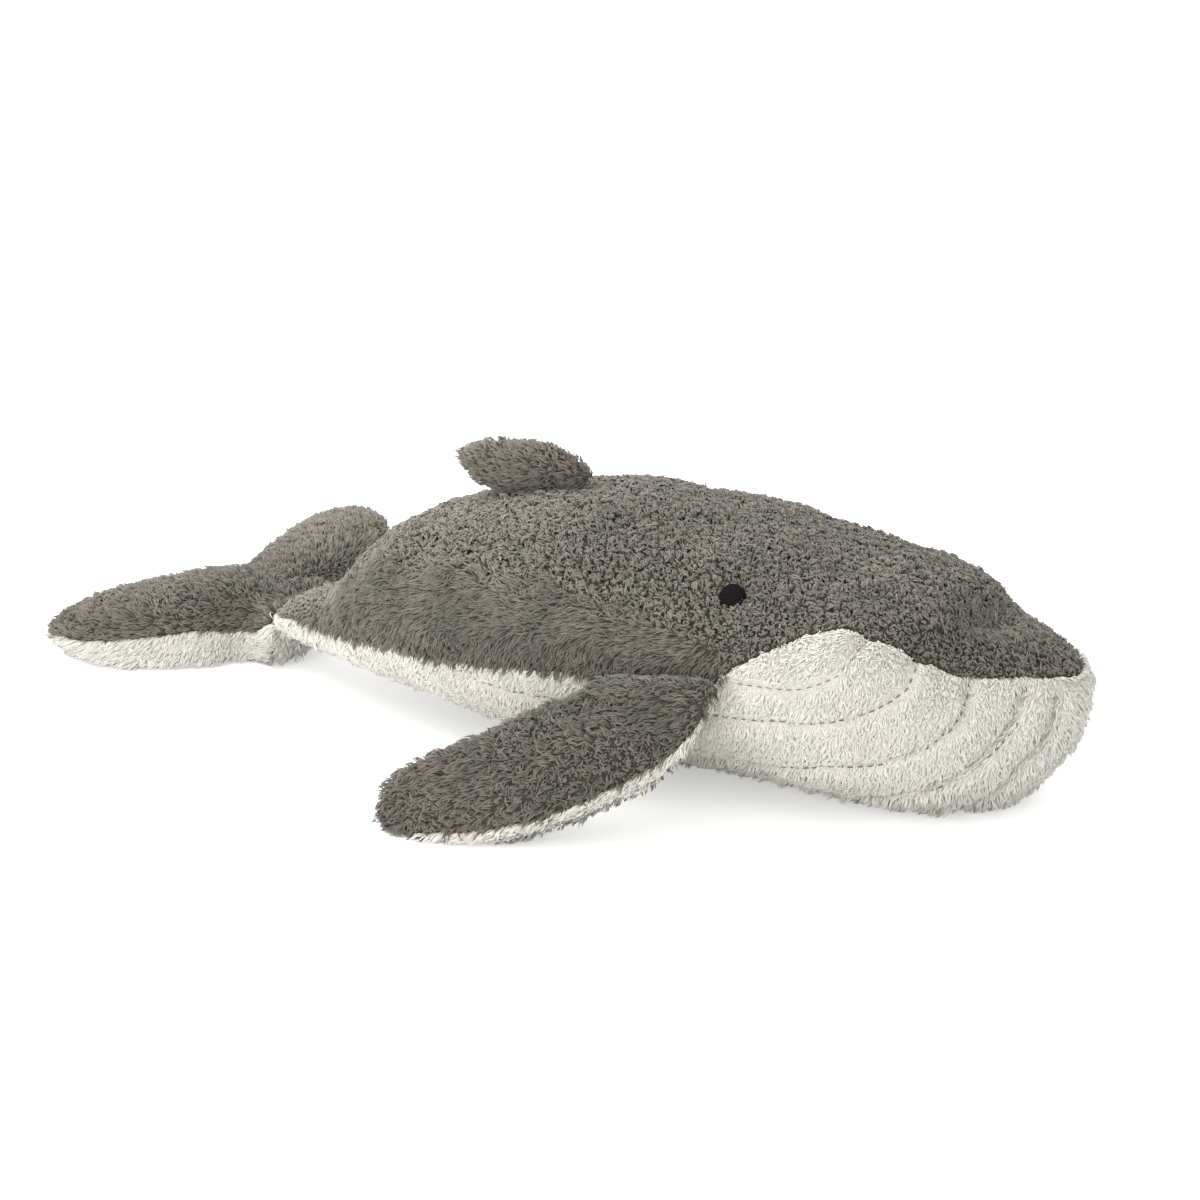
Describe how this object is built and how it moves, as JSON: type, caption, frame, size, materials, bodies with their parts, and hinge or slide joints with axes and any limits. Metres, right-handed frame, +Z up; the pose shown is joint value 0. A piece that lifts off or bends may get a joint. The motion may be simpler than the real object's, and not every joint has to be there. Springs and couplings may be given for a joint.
{
  "type": "plush whale",
  "caption": "Stuffed humpback whale lying on its belly: grey back, cream grooved belly, swept flippers, low fin and flat tail flukes, all hinged at their sewn roots.",
  "frame": {"origin": "middle of the whale's bounding box, on the floor that its belly rests on", "axes": "+X to the nose, +Y to the whale's left, +Z up"},
  "size_m": [0.6054, 0.3654, 0.1533],
  "materials": {
    "grey_pile": "long grey-brown pile in combed and curled locks",
    "cream_pile": "soft cream pile",
    "black_thread": "matte satin-stitched thread",
    "filling": "loose polyester wadding"
  },
  "bodies": {
    "body": {"back_left": "grey_pile", "back_right": "grey_pile", "belly_panel": "cream_pile", "body_filling": "filling", "eye_left": "black_thread", "eye_right": "black_thread"},
    "flipper_left": {"flipper_left_top": "grey_pile", "flipper_left_underside": "cream_pile", "flipper_left_filling": "filling"},
    "flipper_right": {"flipper_right_top": "grey_pile", "flipper_right_underside": "cream_pile", "flipper_right_filling": "filling"},
    "flukes": {"fluke_top": "grey_pile", "fluke_underside": "cream_pile", "fluke_filling": "filling"},
    "dorsal_fin": {"fin_right_panel": "grey_pile", "fin_left_panel": "grey_pile", "fin_filling": "filling"}
  },
  "joints": [
    {"name": "flipper_left_swing", "type": "hinge", "parent": "body", "child": "flipper_left", "pos_m": [0.11486, 0.10733, 0.06596], "axis": [1, -0.0048, 0], "range_deg": [-16, 75]},
    {"name": "flipper_right_swing", "type": "hinge", "parent": "body", "child": "flipper_right", "pos_m": [0.11486, -0.10733, 0.06596], "axis": [-1, -0.0048, 0], "range_deg": [-16, 75]},
    {"name": "tail_fold", "type": "hinge", "parent": "body", "child": "flukes", "pos_m": [-0.16948, 0.02373, 0.02898], "axis": [0.418, 0.8964, 0.1478], "range_deg": [-50, 65]},
    {"name": "dorsal_fin_fold", "type": "hinge", "parent": "body", "child": "dorsal_fin", "pos_m": [0.00103, 0, 0.13532], "axis": [0.9845, 0, 0.1752], "range_deg": [-40, 15], "stiffness_Nm_per_rad": 0.05}
  ]
}
